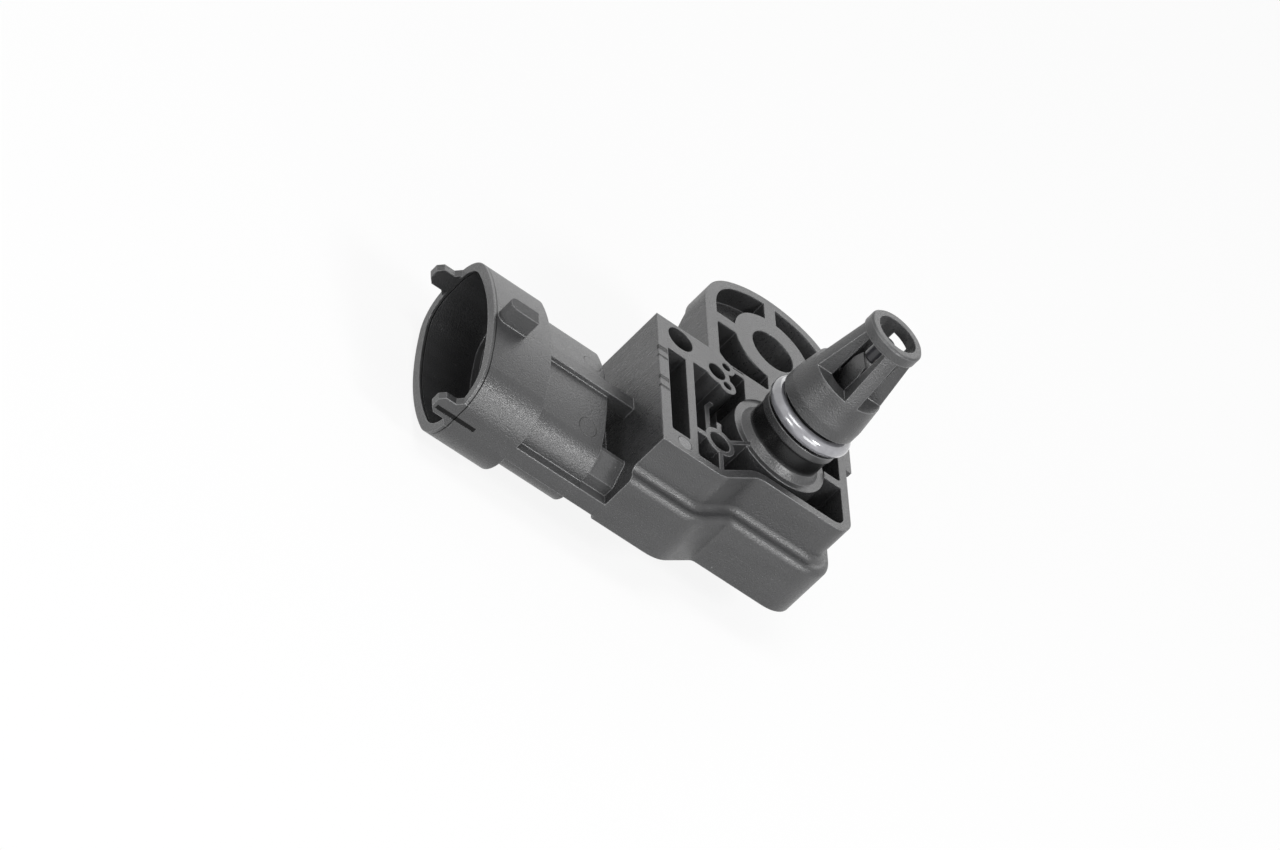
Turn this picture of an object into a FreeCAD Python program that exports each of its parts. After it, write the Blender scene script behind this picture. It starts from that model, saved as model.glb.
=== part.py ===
import FreeCAD, Part

# Manifold absolute pressure and temperature sensor for an engine's intake.
# One black moulding carries the bolt flange, the ribbed body, the port with its
# cage and the connector; the pressure cell sits in a chamber behind the port.
# Axes: +Z along the port, -X out of the connector, +Y towards the bolt hole.
# Origin: the port's axis on the ribbed mounting face.

import math
import os

import Sketcher

# Driving sizes in millimetres.
SIZES = {
    # flange round the bolt
    "bolt_pitch": 19.2,
    "bolt_hole_r": 3.35,
    "bolt_ring_r": 6.2,
    "bolt_seat_r": 7.4,
    "bolt_seat_drop": 7.2,
    "flange_half": 10.95,
    "flange_reach": 10.65,
    "flange_crown_r": 14.0,
    "flange_corner_r": 8.0,
    "flange_edge": 3.9,
    "ramp_reach": 2.8,
    "ramp_foot": 1.2,
    # body
    "body_left": 19.3,
    "body_top": 10.8,
    "body_depth": 13.6,
    "front_left": 14.4,
    "front_right": 9.7,
    "jog_left": 9.75,
    "jog_right": 3.85,
    "tier_drop": 5.9,
    "tier_step": 2.0,
    "jog_r": 3.6,
    "front_corner_r": 3.0,
    "shoulder_r": 0.9,
    # ribbed face
    "wall": 1.2,
    "side_wall": 1.8,
    "rib": 0.7,
    "web": 1.2,
    "pocket_depth": 5.4,
    "face_floor": 1.6,
    "flange_pocket": 2.7,
    "arc_pocket": 4.2,
    "pocket_r": 0.5,
    "slot_inset": 1.5,
    "slot_width": 2.85,
    "slot_top_gap": 5.7,
    "slot_end_gap": 3.2,
    "corner_hole_side": 3.7,
    "corner_hole_top": 2.35,
    "corner_hole_r": 1.95,
    "pad_r": 7.15,
    "pad_drop": 0.2,
    "pad_edge": 5.3,
    "tube_inset": 4.85,
    "tube_rise": 6.8,
    "tube_r": 2.25,
    "tube_hole_r": 1.55,
    "trio_inset": 5.15,
    "trio_drop": 4.0,
    "trio_hole_r": 1.35,
    "trio_small_r": 0.65,
    "trio_step": 1.6,
    "trio_climb": 2.2,
    "low_rib_drop": 2.6,
    "low_rib_start": 2.0,
    "low_rib_bend": 2.7,
    "rib_foot_x": 5.0,
    "rib_foot_y": 3.75,
    "clip_reach": 1.65,
    "clip_y": 7.9,
    "clip_width": 5.1,
    "clip_nose": 1.45,
    "clip_foot": 3.1,
    # port and cage
    "port_r": 5.45,
    "lip_r": 5.65,
    "lip_height": 1.3,
    "ring_z": 5.65,
    "ring_thick": 2.0,
    "ring_r": 6.2,
    "groove_room": 0.25,
    "groove_slack": 0.4,
    "cap_r": 5.6,
    "cap_reach": 1.5,
    "cage_r": 5.1,
    "cap_taper": 3.8,
    "cage_length": 7.5,
    "tip_r": 4.0,
    "tip_length": 1.5,
    "tip_bevel": 0.25,
    "port_bore_r": 2.9,
    "leg_width": 1.9,
    "web_width": 1.4,
    "web_rise": 3.6,
    "web_half": 2.2,
    "web_bevel": 0.7,
    # connector
    "mouth_x": 41.9,
    "neck_gap": 3.7,
    "collar_length": 8.9,
    "collar_y": 2.9,
    "collar_rise": 1.8,
    "collar_half_width": 13.5,
    "collar_half_height": 7.7,
    "collar_corner_r": 5.4,
    "collar_side_r": 33.0,
    "neck_inset": 1.55,
    "collar_wall": 1.2,
    "socket_floor": 5.0,
    "key_length": 2.9,
    "key_half": 1.3,
    "nub_setback": 0.7,
    "nub_length": 4.2,
    "nub_side": 0.98,
    "nub_half": 1.1,
    "nub_height": 2.45,
    "nub_round": 1.0,
    "ridge_half": 1.05,
    "ridge_rise": 0.65,
    "ridge_depth": 1.95,
    "plate_above": 0.8,
    "plate_below": 1.4,
    "plate_thick": 2.6,
    "core_half_width": 9.0,
    "core_half_height": 1.5,
    "gusset_inset": 3.2,
    "gusset_half": 1.5,
    "gusset_bevel": 2.3,
    "gusset_rise": 4.6,
    # chamber behind the port
    "chamber_side": 5.3,
    "chamber_edge": 2.0,
    "chamber_wall": 1.8,
    "lid_inset": 0.9,
    "lid_thick": 1.3,
    "lid_gap": 0.1,
    "seal_thick": 0.3,
    # terminals
    "pin_pitch": 3.6,
    "pin_width": 1.5,
    "pin_thick": 0.64,
    "pin_setback": 6.5,
    "pin_drop": 1.2,
    "pin_gap": 0.7,
    "pin_overhang": 1.3,
    "pin_bend_inset": 0.3,
    "pin_bend_run": 2.8,
    "pin_bend_r": 0.6,
    # pressure cell
    "board_left": 5.2,
    "board_right": 7.4,
    "board_half_width": 6.3,
    "board_thick": 0.8,
    "glue_thick": 0.25,
    "glue_width": 1.3,
    "glass_side": 2.6,
    "glass_height": 0.9,
    "chip_side": 2.2,
    "chip_height": 0.4,
    "dam_gap": 0.2,
    "dam_wall": 0.3,
    "dam_height": 1.7,
    "gel_height": 1.5,
    "capacitor_length": 2.0,
    "capacitor_width": 1.25,
    "capacitor_height": 0.9,
    "capacitor_pitch": 3.4,
    "capacitor_edge": 2.8,
    "strap_width": 0.4,
    "strap_thick": 0.15,
    "strap_rise": 0.9,
    "strap_land": 0.6,
    # temperature bead
    "lead_r": 0.25,
    "lead_y": 1.7,
    "lead_rise": 3.2,
    "lead_land": 0.55,
    "bead_r": 1.2,
    "bead_rise": 5.8,
    "bead_length": 3.4,
    "bead_bevel": 0.35,
    "lead_bead_y": 0.45,
}

# Flats round the sealing ring's cord.
RING_FLATS = 12

SKETCH_AXES = {"XY": "XY_Plane", "XZ": "XZ_Plane", "YZ": "YZ_Plane"}


class Dim:
    """A size that keeps its value and the sheet expression it comes from."""

    def __init__(self, value, text=None):
        self.value = float(value)
        self.text = text if text else format(float(value), ".9g")

    def _join(self, other, sign, result):
        return Dim(result, f"({self.text} {sign} {dim(other).text})")

    def __add__(self, other):
        return self._join(other, "+", self.value + dim(other).value)

    def __sub__(self, other):
        return self._join(other, "-", self.value - dim(other).value)

    def __mul__(self, other):
        return self._join(other, "*", self.value * dim(other).value)

    def __truediv__(self, other):
        return self._join(other, "/", self.value / dim(other).value)

    def __radd__(self, other):
        return dim(other) + self

    def __rsub__(self, other):
        return dim(other) - self

    def __rmul__(self, other):
        return dim(other) * self

    def __neg__(self):
        return Dim(-self.value, f"(0 - {self.text})")

    def root(self):
        return Dim(math.sqrt(self.value), f"sqrt({self.text})")


def dim(number):
    return number if isinstance(number, Dim) else Dim(number)


class Sheet:
    """The document's spreadsheet, read as attributes that give Dim values."""

    def __init__(self, doc):
        self.sheet = doc.addObject("Spreadsheet::Sheet", "Sizes")
        for row, (name, value) in enumerate(SIZES.items(), start=1):
            self.sheet.set(f"A{row}", name)
            self.sheet.set(f"B{row}", str(value))
            self.sheet.setAlias(f"B{row}", name)
        doc.recompute()

    def __getattr__(self, name):
        return Dim(SIZES[name], f"Sizes.{name}")

    @property
    def flange_end(self):
        return self.bolt_pitch + self.flange_reach

    @property
    def chamber_roof(self):
        return self.pocket_depth + self.face_floor

    @property
    def slot_left(self):
        return self.body_left - self.slot_inset

    @property
    def slot_right(self):
        return self.slot_left - self.slot_width

    @property
    def tube_x(self):
        return self.slot_right - self.tube_inset

    @property
    def tube_y(self):
        return self.front_left - self.tube_rise

    @property
    def trio_x(self):
        return self.slot_right - self.trio_inset

    @property
    def trio_y(self):
        return self.body_top - self.trio_drop

    @property
    def groove_high(self):
        return self.ring_z + self.ring_thick / 2 + self.groove_room + self.groove_slack

    @property
    def cap_top(self):
        return self.groove_high + self.cap_reach

    @property
    def cage_start(self):
        return self.cap_top + self.cap_taper

    @property
    def cage_end(self):
        return self.cage_start + self.cage_length

    @property
    def tip_end(self):
        return self.cage_end + self.tip_length

    @property
    def web_top(self):
        return self.cage_start + self.web_rise

    @property
    def bead_z(self):
        return self.cage_start + self.bead_rise

    @property
    def neck_back(self):
        return self.body_left + self.neck_gap

    @property
    def collar_back(self):
        return self.mouth_x - self.collar_length

    @property
    def collar_z(self):
        return self.body_depth - self.collar_rise

    @property
    def dam_half(self):
        return (self.port_bore_r - self.dam_gap) / dim(2).root()

    @property
    def pin_inner(self):
        return self.board_left + self.pin_gap

    @property
    def pin_inner_z(self):
        return self.chamber_roof + self.pin_drop


class Outline:
    """A sketch on an origin plane whose geometry is bound to the sheet."""

    def __init__(self, body, name, plane, offset=0):
        self.sketch = body.newObject("Sketcher::SketchObject", name)
        role = SKETCH_AXES[plane]
        features = body.Origin.OriginFeatures
        support = [item for item in features if item.Role == role][0]
        self.sketch.AttachmentSupport = [(support, "")]
        self.sketch.MapMode = "FlatFace"
        offset = dim(offset)
        self.sketch.AttachmentOffset = FreeCAD.Placement(
            FreeCAD.Vector(0, 0, offset.value), FreeCAD.Rotation())
        self.sketch.setExpression("AttachmentOffset.Base.z", offset.text)

    def constrain(self, *terms):
        return self.sketch.addConstraint(Sketcher.Constraint(*terms))

    def bind(self, kind, *terms, size):
        index = self.constrain(kind, *terms, size.value)
        self.sketch.setExpression(f"Constraints[{index}]", size.text)

    def pin(self, geometry, vertex, x, y):
        self.bind("DistanceX", -1, 1, geometry, vertex, size=dim(x))
        self.bind("DistanceY", -1, 1, geometry, vertex, size=dim(y))

    def circle(self, x, y, radius):
        x, y, radius = dim(x), dim(y), dim(radius)
        centre = FreeCAD.Vector(x.value, y.value, 0)
        shape = Part.Circle(centre, FreeCAD.Vector(0, 0, 1), radius.value)
        index = self.sketch.addGeometry(shape, False)
        self.pin(index, 3, x, y)
        self.bind("Radius", index, size=radius)
        return self

    def line(self, start, end):
        return self.sketch.addGeometry(Part.LineSegment(start, end), False)

    def arc(self, centre, radius, start, end):
        """Adds the short arc from start to end; returns it and its two ends' indices."""
        first = math.atan2(start.y - centre.y, start.x - centre.x)
        last = math.atan2(end.y - centre.y, end.x - centre.x)
        circle = Part.Circle(centre, FreeCAD.Vector(0, 0, 1), radius)
        if (last - first) % (2 * math.pi) < math.pi:
            index = self.sketch.addGeometry(Part.ArcOfCircle(circle, first, last), False)
            return index, 1, 2
        index = self.sketch.addGeometry(Part.ArcOfCircle(circle, last, first), False)
        return index, 2, 1

    def polygon(self, *corners):
        """Draws a closed outline of corners (x, y) or (x, y, rounding radius)."""
        corners = [tuple(dim(term) for term in corner) for corner in corners]
        points = [FreeCAD.Vector(c[0].value, c[1].value, 0) for c in corners]
        count = len(corners)
        ends = []
        for index, corner in enumerate(corners):
            point = points[index]
            before = (points[index - 1] - point).normalize()
            after = (points[(index + 1) % count] - point).normalize()
            if len(corner) < 3 or corner[2].value <= 0:
                ends.append((point, point, None))
                continue
            half = before.getAngle(after) / 2
            reach = corner[2].value / math.tan(half)
            middle = (before + after).normalize() * (corner[2].value / math.sin(half))
            ends.append((point + before * reach, point + after * reach, point + middle))
        lines = []
        for index in range(count):
            start = ends[index][1]
            end = ends[(index + 1) % count][0]
            lines.append(self.line(start, end))
        for index, corner in enumerate(corners):
            previous, following = lines[index - 1], lines[index]
            start, end, centre = ends[index]
            if centre is None:
                self.constrain("Coincident", previous, 2, following, 1)
                self.pin(following, 1, corner[0], corner[1])
                continue
            arc, first, last = self.arc(centre, corner[2].value, start, end)
            mark = self.sketch.addGeometry(Part.Point(points[index]), True)
            self.pin(mark, 1, corner[0], corner[1])
            self.constrain("PointOnObject", mark, 1, previous)
            self.constrain("PointOnObject", mark, 1, following)
            self.constrain("Tangent", previous, 2, arc, first)
            self.constrain("Tangent", arc, last, following, 1)
            self.bind("Radius", arc, size=corner[2])
        return self

    def box(self, x_low, x_high, y_low, y_high, radius=0):
        return self.polygon((x_low, y_low, radius), (x_high, y_low, radius),
                            (x_high, y_high, radius), (x_low, y_high, radius))

    def arch(self, half, foot, top, corner_r, crown_r):
        """Draws straight sides at +-half from foot up, joined by a crown of crown_r."""
        half, foot, top = dim(half), dim(foot), dim(top)
        corner_r, crown_r = dim(corner_r), dim(crown_r)
        crown_y = top - crown_r
        reach = half - corner_r
        rise = ((crown_r - corner_r) * (crown_r - corner_r) - reach * reach).root()
        corner_y = crown_y + rise
        crown = FreeCAD.Vector(0, crown_y.value, 0)
        joints = []
        for side in (1, -1):
            centre = FreeCAD.Vector(side * reach.value, corner_y.value, 0)
            along = (centre - crown).normalize()
            joints.append((centre, crown + along * crown_r.value))
        right, left = joints
        feet = [FreeCAD.Vector(side * half.value, foot.value, 0) for side in (1, -1)]
        tops = [FreeCAD.Vector(side * half.value, corner_y.value, 0) for side in (1, -1)]
        base = self.line(feet[1], feet[0])
        rise_right = self.line(feet[0], tops[0])
        fall_left = self.line(tops[1], feet[1])
        arc_right, a_first, a_last = self.arc(right[0], corner_r.value, tops[0], right[1])
        arc_crown, b_first, b_last = self.arc(crown, crown_r.value, right[1], left[1])
        arc_left, c_first, c_last = self.arc(left[0], corner_r.value, left[1], tops[1])
        self.constrain("Coincident", base, 2, rise_right, 1)
        self.constrain("Coincident", fall_left, 2, base, 1)
        self.pin(rise_right, 1, half, foot)
        self.pin(base, 1, -half, foot)
        self.constrain("Vertical", rise_right)
        self.constrain("Vertical", fall_left)
        self.constrain("Tangent", rise_right, 2, arc_right, a_first)
        self.constrain("Tangent", arc_right, a_last, arc_crown, b_first)
        self.constrain("Tangent", arc_crown, b_last, arc_left, c_first)
        self.constrain("Tangent", arc_left, c_last, fall_left, 1)
        self.pin(arc_crown, 3, 0, crown_y)
        self.bind("Radius", arc_crown, size=crown_r)
        self.bind("Radius", arc_right, size=corner_r)
        self.bind("Radius", arc_left, size=corner_r)
        return self

    def barrel(self, x, y, half_width, half_height, corner_r, side_r):
        """Draws a rounded section whose long sides bulge with radius side_r."""
        x, y, half_width, half_height = dim(x), dim(y), dim(half_width), dim(half_height)
        corner_r, side_r = dim(corner_r), dim(side_r)
        reach = half_width - corner_r
        rise = ((side_r - corner_r) * (side_r - corner_r) - reach * reach).root()
        corner_h = half_height - side_r + rise
        sides = []
        for up in (1, -1):
            centre = FreeCAD.Vector(x.value, (y + up * (half_height - side_r)).value, 0)
            joints = []
            for out in (up, -up):
                corner = FreeCAD.Vector((x + out * reach).value, (y + up * corner_h).value, 0)
                along = (corner - centre).normalize()
                joints.append((corner, centre + along * side_r.value))
            sides.append((centre, joints))
        arcs = []
        for centre, joints in sides:
            arcs.append(self.arc(centre, side_r.value, joints[0][1], joints[1][1]))
        for up, side, (centre, joints) in zip((1, -1), arcs, sides):
            self.pin(side[0], 3, x, y + up * (half_height - side_r))
            self.bind("Radius", side[0], size=side_r)
            for out, which, (corner, joint) in zip((up, -up), (1, 2), joints):
                flat = FreeCAD.Vector((x + out * half_width).value, corner.y, 0)
                arc, first, last = self.arc(corner, corner_r.value, joint, flat)
                self.bind("Radius", arc, size=corner_r)
                self.constrain("Tangent", side[0], side[which], arc, first)
                sides.append((out, up, arc, last, flat))
        corners = sides[2:]
        for out in (1, -1):
            upper = [c for c in corners if c[0] == out and c[1] == 1][0]
            lower = [c for c in corners if c[0] == out and c[1] == -1][0]
            flat = self.line(upper[4], lower[4])
            self.constrain("Vertical", flat)
            self.bind("DistanceX", -1, 1, flat, 1, size=x + out * half_width)
            self.constrain("Tangent", upper[2], upper[3], flat, 1)
            self.constrain("Tangent", lower[2], lower[3], flat, 2)
        return self


class Piece:
    """A PartDesign body, built feature by feature, that becomes one STEP file."""

    def __init__(self, doc, label):
        self.doc = doc
        self.body = doc.addObject("PartDesign::Body", label)
        self.body.Label = label
        self.label = label
        self.count = 0

    def outline(self, plane="XY", offset=0):
        self.count += 1
        name = f"{self.label}_outline_{self.count}"
        return Outline(self.body, name, plane, offset)

    def volume(self):
        return self.body.Shape.Volume if self.body.Tip else 0.0

    def _feature(self, kind, outline, grows):
        before = self.volume()
        feature = self.body.newObject(f"PartDesign::{kind}", f"{self.label}_{kind}_{self.count}")
        feature.Profile = outline.sketch
        outline.sketch.Visibility = False
        return feature, before, grows

    def _finish(self, feature, before, grows):
        self.body.Tip = feature
        self.doc.recompute()
        change = self.volume() - before
        if (change > 0) != grows or abs(change) < 1e-4:
            raise ValueError(f"{feature.Name} changes the volume by {change:.5f}")
        return feature

    def _extrude(self, kind, outline, length, back, middle, grows):
        feature, before, grows = self._feature(kind, outline, grows)
        feature.Length = dim(length).value
        feature.setExpression("Length", dim(length).text)
        feature.Reversed = back
        feature.Midplane = middle
        return self._finish(feature, before, grows)

    def pad(self, outline, length, back=False, middle=False):
        return self._extrude("Pad", outline, length, back, middle, True)

    def pocket(self, outline, length, back=False, middle=False):
        return self._extrude("Pocket", outline, length, back, middle, False)

    def _turn(self, kind, outline, grows):
        feature, before, grows = self._feature(kind, outline, grows)
        feature.ReferenceAxis = (outline.sketch, ["V_Axis"])
        feature.Angle = 360
        return self._finish(feature, before, grows)

    def revolve(self, outline):
        return self._turn("Revolution", outline, True)

    def groove(self, outline):
        return self._turn("Groove", outline, False)

    def dress(self, kind, radius, picks):
        """Fillets or chamfers the edges for which picks(edge) is true."""
        edges = self.body.Shape.Edges
        names = [f"Edge{i}" for i, edge in enumerate(edges, start=1) if picks(edge)]
        if not names:
            raise ValueError(f"{self.label}: no edge to {kind.lower()}")
        base = self.body.Tip
        feature = self.body.newObject(f"PartDesign::{kind}", f"{self.label}_{kind}_{self.count}")
        self.count += 1
        feature.Base = (base, names)
        key = "Radius" if kind == "Fillet" else "Size"
        setattr(feature, key, dim(radius).value)
        feature.setExpression(key, dim(radius).text)
        self.body.Tip = feature
        self.doc.recompute()
        return feature


def body_outline(outline, s, grow, left, top):
    """Draws the body seen along the port, its front and right sides moved out by grow."""
    run = s.jog_left - s.jog_right
    climb = s.front_left - s.front_right
    slant = (run * run + climb * climb).root()
    shift = (slant - run) / climb * grow
    right = s.flange_half + grow
    return outline.polygon(
        (-left, top), (-left, -s.front_left - grow),
        (-s.jog_left + shift, -s.front_left - grow, s.jog_r + grow),
        (-s.jog_right + shift, -s.front_right - grow, s.jog_r - grow),
        (right, -s.front_right - grow, s.front_corner_r + grow),
        (right, top))


def add_tiers(piece, s):
    """The ribbed block, and the lower tier that steps out beyond its front."""
    upper = body_outline(piece.outline(), s, dim(0), s.body_left, s.body_top)
    piece.pad(upper, s.body_depth, back=True)
    lower = body_outline(piece.outline(offset=-s.tier_drop), s, s.tier_step,
                         s.body_left, s.body_top)
    piece.pad(lower, s.body_depth - s.tier_drop, back=True)
    level = -s.tier_drop.value
    left = -s.body_left.value
    top = s.body_top.value

    def on_shoulder(edge):
        box = edge.BoundBox
        flat = abs(box.ZMin - level) + abs(box.ZMax - level) < 1e-5
        return flat and box.XMax > left + 0.01 and box.YMin < top - 0.01

    piece.dress("Fillet", s.shoulder_r, on_shoulder)


def add_flange(piece, s):
    """The bolt flange: thin at its far edge, with a ramp down to the body's back."""
    arch = piece.outline().arch(s.flange_half, 0, s.flange_end, s.flange_corner_r,
                                s.flange_crown_r)
    piece.pad(arch, s.body_depth, back=True)
    beyond = s.flange_end + s.wall
    below = -s.body_depth - s.wall
    foot = s.body_top + s.ramp_foot
    ramp = piece.outline("YZ").polygon(
        (foot, -s.body_depth), (s.bolt_pitch + s.ramp_reach, -s.flange_edge),
        (beyond, -s.flange_edge), (beyond, below), (foot, below))
    piece.pocket(ramp, s.flange_half * 3, middle=True)
    boss = piece.outline().circle(0, s.bolt_pitch, s.bolt_seat_r)
    piece.pad(boss, s.bolt_seat_drop, back=True)
    seat = piece.outline(offset=-s.bolt_seat_drop).circle(0, s.bolt_pitch, s.bolt_seat_r)
    piece.pocket(seat, s.body_depth)


def cut_face_pockets(piece, s):
    """Pockets of the ribbed face, before the bosses and ribs are put back."""
    left = s.slot_right - s.web
    inner = s.flange_half - s.wall
    top = s.trio_y + s.trio_hole_r + s.web
    front = s.wall
    run = s.jog_left - s.jog_right
    climb = s.front_left - s.front_right
    shift = ((run * run + climb * climb).root() - run) / climb * front
    main = piece.outline().polygon(
        (-left, s.trio_y - s.web, s.pocket_r),
        (-left, -s.front_left + front, s.pocket_r),
        (-s.jog_left - shift, -s.front_left + front, s.pocket_r * 2),
        (-s.jog_right - shift, -s.front_right + front, s.jog_r + front),
        (inner, -s.front_right + front, s.front_corner_r - s.wall),
        (inner, -s.web / 2, s.pocket_r / 2),
        (-s.pad_edge, -s.web / 2),
        (-s.pad_edge, top + s.web / 2, s.pocket_r / 2),
        (-s.trio_x + s.trio_step, top + s.web / 2),
        (-s.trio_x + s.trio_step, s.trio_y),
        (-s.trio_x, s.trio_y),
        (-s.trio_x, s.trio_y - s.web))
    main.box(s.pad_r / 2, inner, s.web / 2, s.body_top - s.web * 2, s.pocket_r)
    main.box(-s.slot_left, -s.slot_right, -s.front_left + s.slot_end_gap,
             s.body_top - s.slot_top_gap, s.pocket_r / 2)
    main.circle(-s.body_left + s.corner_hole_side, s.body_top - s.corner_hole_top,
                s.corner_hole_r)
    piece.pocket(main, s.pocket_depth)
    holes = piece.outline().circle(-s.trio_x, s.trio_y, s.trio_hole_r)
    holes.circle(-s.trio_x + s.trio_step, s.trio_y + s.trio_climb, s.trio_small_r)
    piece.pocket(holes, s.pocket_depth)


def cut_flange_pockets(piece, s):
    """Three pockets round the bolt boss, parted by a radial and a slanting rib."""
    inner = s.flange_half - s.side_wall
    foot = s.bolt_pitch + s.wall / 2
    crown = piece.outline().arch(inner, foot, s.flange_end - s.wall,
                                 s.flange_corner_r - s.side_wall,
                                 s.flange_crown_r - s.wall)
    piece.pocket(crown, s.flange_pocket)
    low = s.body_top - s.rib
    left = piece.outline().polygon(
        (-inner, s.bolt_pitch - s.wall, s.pocket_r),
        (-inner, low + s.wall, s.pocket_r),
        (-inner + s.wall, low, s.pocket_r),
        (-s.wall, low, s.pocket_r),
        (-s.wall, s.bolt_pitch - s.wall))
    piece.pocket(left, s.arc_pocket)
    right = piece.outline().polygon(
        (inner, foot), (s.wall, foot), (s.wall, low, s.pocket_r), (inner, low, s.pocket_r))
    piece.pocket(right, s.flange_pocket)
    ring = piece.outline().circle(0, s.bolt_pitch, s.bolt_ring_r)
    piece.pad(ring, s.arc_pocket + s.rib, back=True)
    rib = piece.outline().box(-s.side_wall / 2, s.side_wall / 2,
                              s.bolt_pitch, s.flange_end - s.wall / 2)
    piece.pad(rib, s.flange_pocket + s.rib, back=True)
    hole = piece.outline().circle(0, s.bolt_pitch, s.bolt_hole_r)
    piece.pocket(hole, s.body_depth * 2, middle=True)


def cut_port_way(piece, s):
    """The way through the block under the port, and the port's sunken pad."""
    piece.pocket(piece.outline().circle(0, 0, s.pad_r), s.pad_drop)
    piece.pocket(piece.outline().circle(0, 0, s.port_bore_r), s.body_depth)


def make_face_ribs(doc, s):
    """The tube boss, the three-hole boss and the ribs that tie them to the walls."""
    piece = Piece(doc, "moulded_ribs")
    depth = s.pocket_depth + s.rib / 2
    half = s.rib / 2
    left = s.slot_right - s.web
    piece.pad(piece.outline().circle(-s.tube_x, -s.tube_y, s.tube_r), depth, back=True)
    piece.pad(piece.outline().box(-left - half, -s.tube_x, -s.tube_y - s.rib, -s.tube_y),
              depth, back=True)
    piece.pad(piece.outline().box(-s.tube_x - half, -s.tube_x + half,
                                  -s.front_left + half, -s.tube_y + s.tube_r + s.rib * 2),
              depth, back=True)
    piece.pad(piece.outline().polygon(
        (-s.tube_x, -s.tube_y - half), (-s.rib_foot_x, -s.rib_foot_y - half),
        (-s.rib_foot_x, -s.rib_foot_y + half), (-s.tube_x, -s.tube_y + half)),
        depth, back=True)
    wide = s.trio_hole_r + s.rib
    small = s.trio_small_r + s.rib
    places = ((s.trio_x, s.trio_y, wide),
              (s.trio_x - s.trio_step, s.trio_y + s.trio_climb, small),
              (s.trio_x - s.trio_step, s.trio_y - s.trio_step, small))
    for x, y, radius in places:
        piece.pad(piece.outline().circle(-x, y, radius), depth, back=True)
    rib_y = s.trio_y + s.trio_climb
    piece.pad(piece.outline().box(-s.trio_x + s.trio_step, -s.web, rib_y, rib_y + s.rib),
              depth, back=True)
    low = s.low_rib_drop
    end_x = -s.trio_x + s.trio_step
    end_y = s.trio_y - s.trio_step
    piece.pad(piece.outline(offset=-low).polygon(
        (-s.trio_x, -s.low_rib_start), (-s.trio_x + s.rib, -s.low_rib_start),
        (-s.trio_x + s.rib, s.low_rib_bend), (end_x + s.rib, end_y), (end_x, end_y),
        (-s.trio_x, s.low_rib_bend)), depth - low, back=True)
    holes = piece.outline().circle(-s.tube_x, -s.tube_y, s.tube_hole_r)
    for x, y, radius in places:
        holes.circle(-x, y, radius - s.rib)
    piece.pocket(holes, s.pocket_depth)
    return piece.body


def add_clip(piece, s):
    """The small retaining nub on the right-hand wall."""
    root = s.flange_half - s.rib
    tip = s.flange_half + s.clip_reach
    side = piece.outline("XZ", -(s.clip_y + s.clip_width / 2)).polygon(
        (root, -s.rib), (tip, -s.rib), (tip, -s.clip_nose), (root, -s.clip_foot))
    piece.pad(side, s.clip_width)


def add_port(piece, s):
    """The port: pad, barrel, lip, ring groove, cap and caged tip, then its bore."""
    groove_low = s.ring_z - s.ring_thick / 2 - s.groove_room
    groove_r = s.ring_r - s.ring_thick
    lip_low = groove_low - s.lip_height
    profile = piece.outline("XZ").polygon(
        (0, -s.pocket_depth - s.rib), (s.pad_r, -s.pocket_depth - s.rib),
        (s.pad_r, -s.pad_drop), (s.port_r + s.rib, -s.pad_drop),
        (s.port_r, s.rib), (s.port_r, lip_low),
        (s.lip_r, lip_low + s.rib / 2), (s.lip_r, groove_low), (groove_r, groove_low),
        (groove_r, s.groove_high), (s.cap_r, s.groove_high), (s.cap_r, s.cap_top),
        (s.cage_r, s.cage_start), (s.tip_r - s.tip_bevel / 2, s.cage_end),
        (s.tip_r, s.cage_end), (s.tip_r, s.tip_end - s.tip_bevel),
        (s.tip_r - s.tip_bevel, s.tip_end), (0, s.tip_end))
    piece.revolve(profile)
    below = -s.chamber_roof - s.rib
    above = s.tip_end + s.rib
    bore = piece.outline("XZ").polygon(
        (0, below), (s.port_bore_r, below), (s.port_bore_r, above), (0, above))
    piece.groove(bore)
    near = s.leg_width / 2
    far = s.cap_r + s.rib
    windows = piece.outline(offset=s.cage_end)
    for low_x, high_x in ((near, far), (-far, -near)):
        for low_y, high_y in ((near, far), (-far, -near)):
            windows.box(low_x, high_x, low_y, high_y)
    piece.pocket(windows, s.cage_end - s.cage_start)
    edge = s.port_bore_r + s.rib / 2
    low = -s.chamber_roof + s.lead_rise - s.lead_r - s.rib
    bevel = s.web_half - s.web_bevel
    web = piece.outline("YZ").polygon(
        (-edge, low), (edge, low), (edge, s.cage_start - s.rib),
        (s.web_half, s.cage_start - s.rib), (s.web_half, s.web_top - s.web_bevel * 2),
        (bevel, s.web_top), (-bevel, s.web_top),
        (-s.web_half, s.web_top - s.web_bevel * 2),
        (-s.web_half, s.cage_start - s.rib), (-edge, s.cage_start - s.rib))
    piece.pad(web, s.web_width, middle=True)


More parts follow.
